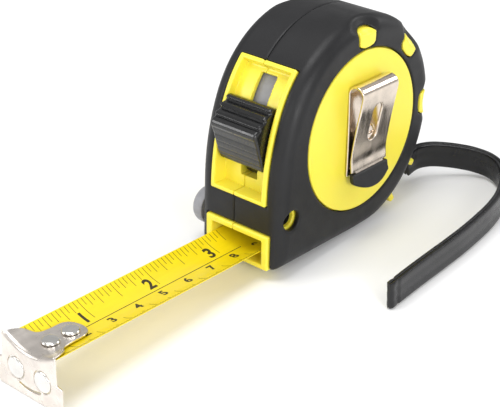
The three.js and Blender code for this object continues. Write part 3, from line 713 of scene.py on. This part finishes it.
def scale_shape():
    """The printed scale: inches in sixteenths on the far side, centimetres in millimetres on the near one."""
    half, lift = sizes("blade_half"), sizes("blade_thickness") / 2 + 0.005
    sixteenths = np.arange(4, 53)
    long = np.select([sixteenths % 16 == 0, sixteenths % 8 == 0, sixteenths % 4 == 0, sixteenths % 2 == 0],
                     [7.4, 5.2, 4.2, 3.2], 2.3)
    millimetres = np.arange(6, 84)
    short = np.select([millimetres % 10 == 0, millimetres % 5 == 0], [4.6, 2.2], 1.3)
    parts = [tick_shape(ZERO_Y + sixteenths * 25.4 / 16, -half + 0.25, -half + 0.25 + long, 0.16, lift),
             tick_shape(ZERO_Y + millimetres, half - 0.25 - short, half - 0.25, 0.16, lift),
             tick_shape(np.array([(ZERO_Y + 20 - 37) / 2]), -0.12, 0.12, abs(ZERO_Y + 20 + 37), lift)]
    parts += [digit_shape(str(k), 6.0, -3.3, ZERO_Y + 25.4 * k - 2.7, lift) for k in (1, 2, 3)]
    parts += [digit_shape(str(k), 4.3, 2.9, ZERO_Y + 10 * k - 2.4, lift) for k in range(2, 10)]
    return joined(*parts)


def hook_plate_outline():
    """Half of the plate's outline from its wide root to its round tongue, mirrored."""
    root = smooth_line([(9.6, -121.6), (9.6, -118.9), (8.2, -115.4), (5.6, -113.2), (4.8, -110),
                        (4.7, -105.9)], 40)
    tongue = np.radians(np.linspace(6, 174, 29))
    tip = np.stack([4.7 * np.cos(tongue), RIVET_Y[1] + 4.7 * np.sin(tongue)], 1)
    return np.vstack([root, tip, root[::-1] * (-1, 1)])


def lip_outline():
    """Half of the lip's outline, shouldered below the blade, mirrored."""
    foot = BASE - 9.5
    right = np.array([(11.9, foot), (12.7, foot + 0.7), (12.95, foot + 1.8), (13.1, -36.7), (12.9, -36.2),
                      (11.2, -35.8), (10.9, -35.2), (10.7, -27.4), (10.5, -26)])
    return np.vstack([right, right[::-1] * (-1, 1)])


def hook_shape():
    """Pressed sheet along an L with a rounded fold, kept inside the plate's and the lip's outlines."""
    plate_outline, lip = hook_plate_outline(), lip_outline()

    def field(x, y, z):
        level = z - BLADE_SAG * x * x * np.clip((z + 40) / 8, 0, 1)
        sheet = np.abs(rounded(1.1, -120.82 - y, level - HOOK_Z)) - 0.42
        plate = np.maximum(polygon_distance(x, y, plate_outline), HOOK_Z - 1.6 - level)
        fold = 0.8 * np.clip((np.abs(x) - 9.2) * 3, 0, 1)
        front = np.maximum(polygon_distance(x, z, lip), y + 119.7 + fold)
        body = smooth_max(sheet, fuse(plate, front), 0.35)
        for sign in (-1, 1):
            body = carve(body, np.maximum(np.hypot(x - sign * MAGNET_X, z - MAGNET_Z) - 3.5, y + 119), 0.3)
        slit = rounded(0.35, np.abs(z + 41.75 - 0.8 * (x / 4.6) ** 2) - 0.42, np.abs(x) - 4.6)
        return carve(body, np.maximum(slit, y + 119), 0.2)

    return skin(field, (-13.1, -121.3, BASE - 9.5), (13.1, -101, -27), 0.22)


def rivet_shape(y):
    """A domed head over the plate: a flat rim rising by a quarter ellipse."""
    turn = np.linspace(0, np.pi / 2, 9)
    dome = np.stack([-29.95 + 0.6 * np.sin(turn), 1.8 + 0.85 * np.cos(turn)], 1)
    crown = [(-29.3, 0.9), (-29.26, 0)]
    shank = np.array([[-32.3, 0], [-32.3, 1.9], [-32.0, 2.05], [-31.95, 1.2], [-30.9, 1.2], [-30.85, 1.7],
                      [-30.15, 1.75], [-30.12, 2.55], [-30.05, 2.65]])
    return turned(np.vstack([shank, dome, crown]), (0, y, 0), 2, 48)


def magnet_shape(side_sign):
    """A plated disc with eased rims and a shallow dish."""
    profile = [(-121.36, 0), (-121.38, 1.6), (-121.42, 2.7), (-121.32, 3.02), (-121.1, 3.2), (-120.5, 3.2),
               (-120.3, 3.0), (-120.3, 0)]
    return turned(profile, (side_sign * MAGNET_X, 0, MAGNET_Z), 1, 56)


def lock_profile():
    """The lock's side profile: a ribbed thumb slope up to the nose and a lined face below it."""
    ribs = [(155.5, 33.35), (155.5, 36.5), (156.2, 37.3), (157.3, 37.9), (158.0, 37.2), (158.8, 37.5),
            (160.0, 39.0), (161.2, 39.5), (161.9, 38.8), (162.6, 39.2), (163.8, 40.6), (165.0, 41.1),
            (165.7, 40.5), (166.2, 41.2), (167.2, 42.1), (168.4, 42.4), (169.6, 42.1)]
    angles = np.linspace(170.4, 186.3, 54)
    face = np.interp(angles, [170.4, 173, 179, 186.3], [41.6, 40.5, 38.9, 37.3])
    face -= 0.07 * (np.cos((angles - 170.4) * 2 * np.pi / 3.2) > 0.72)
    back = polar(np.array([186.4, 178, 171, 163]), 33.35)
    return np.vstack([polar(*np.array(ribs).T), polar(angles, face), back])


def lock_shape():
    """The lock's profile swept across with rounded ends, and its tongue in the slot below: a black strip that
    is painted shade, laid over the grey slider where the button shades it.
    """
    profile = lock_profile()

    def field(x, y, z):
        reach = np.abs(x)
        button = rounded(0.7, polygon_distance(y, z, profile), reach - sizes("lock_half"))
        r = np.hypot(y, z)
        stem = np.maximum(np.maximum(np.abs(r - 32.6) - 1.3, reach - 2.6), np.maximum(beyond(y, z, 163),
                                                                                      -beyond(y, z, 179)))
        # Painted shade: this black tongue covers the grey slider in the slot below the button, standing for
        # the shadow there.
        tongue = rounded(0.3, np.abs(r - 32.35) - 0.55, reach - 2.7, beyond(y, z, 176), -beyond(y, z, 194.5))
        return fuse(button, np.maximum(stem, y), np.maximum(tongue, y))

    return skin(field, (-9.2, -43, -9.5), (9.2, -29, 18), 0.22)


def slider_shape():
    """A plate bent round the drum's axis, with a foot that reaches down behind the mouth."""
    foot = np.vstack([polar(211, 30.9), polar(219, 30.9), [[-25.2, -25.7], [-23, -24.8]], polar(219, 29.7)])

    def field(x, y, z):
        reach = np.abs(x)
        span = np.maximum(beyond(y, z, 139), -beyond(y, z, 211))
        plate = np.maximum(np.abs(np.hypot(y, z) - 30.3) - 0.62, span)
        body = fuse(np.maximum(plate, y), polygon_distance(y, z, foot))
        width = np.where(z > -20, 6.4, 3.4)
        return smooth_max(body, reach - width, 0.25)

    return skin(field, (-6.4, -32, -26), (6.4, -20, 21), 0.3)


def clip_line():
    """The clip's middle line in (x, z): leaf on the case, half-round fold, and the outer leaf curling out."""
    turn = np.radians(np.linspace(180, 0, 25))
    fold = np.stack([19.38 + 2.62 * np.cos(turn), 14.6 + 2.4 * np.sin(turn)], 1)
    leaf = smooth_line([(21.96, 14.0), (21.3, 10.2), (20.3, 5.0), (19.35, -1), (18.7, -6.5),
                        (18.95, -10.6)], 40)
    return np.vstack([[(17.06, -12.2)], [(17.06, 0)], fold, leaf])


def clip_shape():
    """Spring steel of even thickness about the clip's line, slotted through the outer leaf."""
    line = clip_line()

    def field(x, y, z):
        body = smooth_max(line_distance(x, z, line) - 0.38, np.abs(y) - sizes("clip_half"), 0.4)
        tongue = np.maximum(line_distance(x, z, [(18.95, -10.6), (19.1, -11.9), (19.5, -13.6)]) - 0.38,
                            np.abs(y) - 6.8)
        body = fuse(body, tongue)
        slot = np.hypot(y, np.maximum(np.abs(z - 4.2) - 4.0, 0)) - 2.2
        return carve(body, np.maximum(slot, 18.4 - x), 0.35)

    return skin(field, (16.6, -8.6, -14), (22.4, 8.6, 17.5), 0.22)


def tip_shape():
    """The moulded cap on the clip's tip: a thick curl ending in a bowed edge."""
    def field(x, y, z):
        slab = line_distance(x, z, [(19.05, -11.4), (19.35, -13.2), (20.1, -15.2), (21, -16.9)]) - 0.95
        bow = -16.9 + 2.6 * (y / 8.6) ** 2 - z
        return rounded(0.5, slab, np.abs(y) - sizes("clip_half"), z + 11.3, bow)

    return skin(field, (17.8, -8.6, -17.4), (22.2, 8.6, -11), 0.25)


def knob_shape():
    """The side brake's round head with an eased rim, and its stem into the case."""
    crown = smooth_line([(-22.3, 2.6), (-21.9, 4.0), (-21.1, 5.2), (-20.0, 5.85), (-18.8, 6.0)], 16)
    stem = [(-17.2, 6.0), (-16.95, 5.8), (-16.9, 3.0), (-12.7, 3.0), (-12.6, 2.9), (-12.6, 0)]
    x, r = np.vstack([[(-22.4, 0), (-22.38, 1.5)], crown, stem]).T
    corner = np.arange(len(x))
    t = np.linspace(0, len(x) - 1, 60)
    return turned(np.stack([np.interp(t, corner, x), np.interp(t, corner, r)], 1), (0, *BRAKE), 0, 64)


def spring_shape():
    """A wire carried along a helix about the knob's stem, its ends closing on themselves."""
    t = np.linspace(0, 1, 260)
    turn = 2 * np.pi * 4.5 * t
    rise = np.clip(t * 5.5 - 0.5, 0, 4.5) / 4.5
    line = np.stack([-16.3 + 4.1 * rise, BRAKE[0] + 4 * np.cos(turn), BRAKE[1] + 4 * np.sin(turn)], 1)
    outward = np.stack([0 * t, np.cos(turn), np.sin(turn)], 1)
    wire = np.linspace(0, 2 * np.pi, 12, endpoint=False)
    along = np.array((1.0, 0.0, 0.0))
    rings = line[:, None] + 0.3 * (np.cos(wire)[None, :, None] * outward[:, None]
                                   + np.sin(wire)[None, :, None] * along)
    return tube(rings)


def screw_shape(profile, centre, recess_x, cross):
    """A turned screw with its drive cut into the head."""
    profile = np.array(profile, float)

    def field(x, y, z):
        r = np.hypot(y - centre[0], z - centre[1])
        radius = np.interp(x, profile[:, 0], profile[:, 1])
        body = rounded(0.2, r - radius, x - profile[-1, 0], profile[0, 0] - x)
        dy, dz = np.abs(y - centre[0]), np.abs(z - centre[1])
        drive = np.maximum(dy - 2.2, dz - 0.35)
        if cross:
            drive = fuse(np.maximum(dy - 1.4, dz - 0.3), np.maximum(dy - 0.3, dz - 1.4))
        return carve(body, np.maximum(drive, recess_x - x), 0.1)

    reach = profile[:, 1].max()
    return skin(field, (profile[0, 0], centre[0] - reach, centre[1] - reach),
                (profile[-1, 0], centre[0] + reach, centre[1] + reach), 0.18)


def strap_section():
    """Two ribbon layers back to back, each with rounded edges, meeting in a crease along both edges."""
    half = sizes("strap_width") / 2
    turn = np.linspace(-np.pi / 2, np.pi / 2, 9)
    u = 0.62 + 0.56 * np.sin(turn)
    edge = half - 0.45 + 0.45 * np.cos(turn)
    v = np.linspace(half - 0.5, -half + 0.5, 13)
    groove = 1.2 - 0.16 * np.exp(-((v - 1.6) / 0.35) ** 2) - 0.16 * np.exp(-((v + 1.6) / 0.35) ** 2)
    right = np.vstack([np.stack([u, edge], 1), np.stack([groove, v], 1), np.stack([u[::-1], -edge], 1)])
    return np.vstack([right, right[::-1] * (-1, 1)])


def strap_shape():
    """The section carried along the route, standing on its edge, pinched where the end is sealed."""
    path = smooth_line(STRAP_ROUTE, 240)
    step = np.linalg.norm(np.diff(path, axis=0), axis=1)
    run = np.concatenate([[0], np.cumsum(step)])
    tangent = np.gradient(path, axis=0)
    tangent /= np.linalg.norm(tangent, axis=1)[:, None]
    across = np.cross(tangent, (0, 0, 1))
    across /= np.linalg.norm(across, axis=1)[:, None]
    upward = np.cross(across, tangent)
    section = strap_section()
    left = run[-1] - run
    thick = 1 - 0.35 * np.exp(-((left - 3.2) / 0.5) ** 2) - 0.5 * np.exp(-left / 0.25)
    sideways = section[:, 0][None, :, None] * across[:, None] * thick[:, None, None]
    rings = path[:, None] + sideways + section[:, 1][None, :, None] * upward[:, None]
    return tube(rings / 1000), path / 1000, run, len(section)


def strap_uv(obj, run, around):
    """U counts the section's points and V is millimetres along the strap, so that woven ribs follow it."""
    layer = obj.data.uv_layers.new(name="UVMap")
    index = np.zeros(len(obj.data.loops), int)
    obj.data.loops.foreach_get("vertex_index", index)
    uv = np.stack([(index % around) * 1.0, run[np.minimum(index // around, len(run) - 1)]], 1)
    layer.data.foreach_set("uv", uv.astype(np.float32).reshape(-1))


# ---- operators -----------------------------------------------------------------------------------

class TapeStage(bpy.types.Operator):
    """Add the floor, the lights and the camera"""
    bl_idname = "tape.stage"
    bl_label = "Stage"

    def execute(self, context):
        scene = context.scene
        data = bpy.data.cameras.new("camera")
        data.lens = CAMERA_LENS
        data.sensor_width = 36
        data.clip_start, data.clip_end = 0.02, 20
        camera = bpy.data.objects.new("camera", data)
        turn = Euler(np.radians(CAMERA_TURN).tolist())
        camera.matrix_world = Matrix.LocRotScale(Vector(CAMERA_PLACE), turn, None)
        scene.collection.objects.link(camera)
        scene.camera = camera

        grid = np.linspace(-3, 3, 13)
        x, y = np.meshgrid(grid, grid, indexing="ij")
        points = np.stack([x, y, np.full_like(x, -0.0002)], -1).reshape(-1, 3)
        index = np.arange(x.size).reshape(x.shape)
        quads = np.stack([index[:-1, :-1], index[1:, :-1], index[1:, 1:], index[:-1, 1:]], -1).reshape(-1, 4)
        floor = bpy.data.objects.new("floor", build_mesh("floor", points, [quads]))
        floor.data.materials.append(studio_floor())
        scene.collection.objects.link(floor)

        world = bpy.data.worlds.new("studio")
        world.use_nodes = True
        background = world.node_tree.nodes["Background"]
        background.inputs["Color"].default_value = linear("#FFFFFF")
        background.inputs["Strength"].default_value = 0.5
        scene.world = world
        for name, place, size, power in LAMPS:
            light = bpy.data.lights.new(name, "AREA")
            light.shape, light.size, light.energy = "DISK", size, power
            lamp = bpy.data.objects.new(name, light)
            away = Vector(place) - Vector(LAMPS_AIM)
            lamp.matrix_world = Matrix.LocRotScale(Vector(place), away.to_track_quat("Z", "Y"), None)
            scene.collection.objects.link(lamp)
        scene.view_settings.view_transform = "Standard"
        return {"FINISHED"}


class TapeStrap(bpy.types.Operator):
    """Add the wrist strap"""
    bl_idname = "tape.strap"
    bl_label = "Wrist strap"

    def execute(self, context):
        shape, path, run, around = strap_shape()
        strap = piece("strap", shape, coated_ribbon(), "case", ("wrist_strap",), 60,
                      in_row=True)
        strap_uv(strap, run, around)
        sizes("strap_width") / 1000
        return {"FINISHED"}


class TapeJackets(bpy.types.Operator):
    """Add the two halves of the rubber jacket"""
    bl_idname = "tape.jackets"
    bl_label = "Rubber jacket"

    def execute(self, context):
        for name, sign in (("right", 1), ("left", -1)):
            piece(f"rubber_{name}", jacket_shape(sign), overmoulded_rubber(), "case",
                  (f"jacket_{name}",), 60)
        return {"FINISHED"}


class TapeCase(bpy.types.Operator):
    """Add the two halves of the yellow case"""
    bl_idname = "tape.case"
    bl_label = "Case"

    def execute(self, context):
        for name, sign in (("right", 1), ("left", -1)):
            piece(f"shell_{name}", case_shape(sign), moulded_abs(), "case",
                  (f"case_{name}",), 60)
        return {"FINISHED"}


class TapeBlade(bpy.types.Operator):
    """Add the pulled-out blade and its printed scale"""
    bl_idname = "tape.blade"
    bl_label = "Blade"

    def execute(self, context):
        strip = piece("blade_strip", blade_shape(), blade_enamel(), "blade", ("blade",), 40)
        ink = piece("blade_scale", scale_shape(), scale_ink(), "blade", (), 30)
        for obj in (strip, ink):
            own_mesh(obj)
        return {"FINISHED"}


class TapeHook(bpy.types.Operator):
    """Add the end hook, its rivets and its magnets"""
    bl_idname = "tape.hook"
    bl_label = "End hook"

    def execute(self, context):
        piece("hook", hook_shape(), nickel(), "hook", ("end_hook",), 60)
        bright = plated_steel("Bright nickel", "#F2F0EC", 0.14, 0.8, (1, 1, 1))
        for name, y in zip(("front", "rear"), RIVET_Y):
            piece(f"rivet_{name}", rivet_shape(y), bright, "blade", (f"hook_rivet_{name}",), 45)
        for name, sign in (("left", -1), ("right", 1)):
            piece(f"magnet_{name}", magnet_shape(sign), bright, "hook",
                  (f"hook_magnet_{name}",), 45)
        return {"FINISHED"}


class TapeLock(bpy.types.Operator):
    """Add the thumb lock and the slider behind it"""
    bl_idname = "tape.lock"
    bl_label = "Thumb lock"

    def execute(self, context):
        piece("thumb_lock", lock_shape(), moulded_acetal("Black acetal", "lock", 0.2, 0.3), "lock",
              ("lock_button",), 60)
        piece("slide_plate", slider_shape(), moulded_acetal("Grey acetal", "slider", 0.4), "lock",
              ("lock_slider",), 60)
        return {"FINISHED"}


class TapeBrake(bpy.types.Operator):
    """Add the side brake's knob and its spring"""
    bl_idname = "tape.brake"
    bl_label = "Side brake"

    def execute(self, context):
        piece("brake_knob", knob_shape(), moulded_acetal("Grey acetal", "slider", 0.4), "side_brake",
              ("side_brake_button",), 45)
        coil = piece("brake_spring", spring_shape(), plain_metal("Plain steel", "#BDBBB6", 0.3), "side_brake",
                     ("side_brake_spring",), 45)
        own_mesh(coil)
        return {"FINISHED"}


class TapeClip(bpy.types.Operator):
    """Add the belt clip, its tip cap and the screws"""
    bl_idname = "tape.clip"
    bl_label = "Belt clip"

    def execute(self, context):
        polish = plated_steel("Polished spring steel", "#E6D9CB", 0.12, 3.0, (1, 1, 0.15), 0.06)
        piece("clip", clip_shape(), polish, "case", ("belt_clip",), 60)
        piece("clip_cap", tip_shape(), moulded_acetal("Black cap", "jacket", 0.4), "case",
              ("clip_tip_cap",), 60)
        seat = 17.76
        clip_screw = screw_shape([(6, 1.6), (seat, 1.6), (seat + 0.05, 3.1), (seat + 0.6, 2.9),
                                  (seat + 1.1, 2.0)], (0, 0), seat + 0.6, False)
        piece("clip_fixing", clip_screw, polish, "case", ("clip_screw",), 45)
        top = 13.46
        case_screw = screw_shape([(-10, 1.25), (top - 1.6, 1.25), (top - 1.5, 2.4), (top - 0.4, 2.4),
                                  (top, 1.9)], SCREW, top - 0.8, True)
        dark = plain_metal("Blackened steel", "#2A2A2B", 0.35)
        piece("case_fixing", case_screw, dark, "case", ("case_screw",), 45)
        return {"FINISHED"}


class TapeInside(bpy.types.Operator):
    """Give the pieces inside the case their finishes"""
    bl_idname = "tape.inside"
    bl_label = "Inner pieces"

    def execute(self, context):
        steel = plain_metal("Plain steel", "#BDBBB6", 0.3)
        black = moulded_acetal("Black acetal", "lock", 0.2, 0.3)
        finishes = {"spindle": steel, "drum": black, "wound_blade": blade_enamel(), "power_spring": steel,
                    "spring_cover": black, "lock_pad": overmoulded_rubber(), "strap_pin": steel}
        for name, finish in finishes.items():
            for slot in frame["nodes"][name].material_slots:
                slot.material = finish
        return {"FINISHED"}


class TapePanel(bpy.types.Panel):
    """The tape measure's operators, sizes and colours"""
    bl_idname = "VIEW3D_PT_tape"
    bl_label = "Pocket tape measure"
    bl_space_type = "VIEW_3D"
    bl_region_type = "UI"
    bl_category = "Tape"

    def draw(self, context):
        for operator in OPERATORS:
            self.layout.operator(operator.bl_idname)
        for group in (context.scene.tape_sizes, context.scene.tape_colours):
            for name in group.bl_rna.properties.keys():
                if name not in ("rna_type", "name"):
                    self.layout.prop(group, name)


OPERATORS = (TapeStage, TapeStrap, TapeJackets, TapeCase, TapeBlade, TapeHook, TapeLock, TapeBrake, TapeClip,
             TapeInside)


def register():
    for item in (TapeSizes, TapeColours, *OPERATORS, TapePanel):
        bpy.utils.register_class(item)
    bpy.types.Scene.tape_sizes = bpy.props.PointerProperty(type=TapeSizes)
    bpy.types.Scene.tape_colours = bpy.props.PointerProperty(type=TapeColours)


def unregister():
    del bpy.types.Scene.tape_colours
    del bpy.types.Scene.tape_sizes
    for item in (TapePanel, *reversed(OPERATORS), TapeColours, TapeSizes):
        bpy.utils.unregister_class(item)


def main():
    register()
    for operator in OPERATORS:
        group, name = operator.bl_idname.split(".")
        getattr(getattr(bpy.ops, group), name)()


if __name__ == "__main__":
    main()
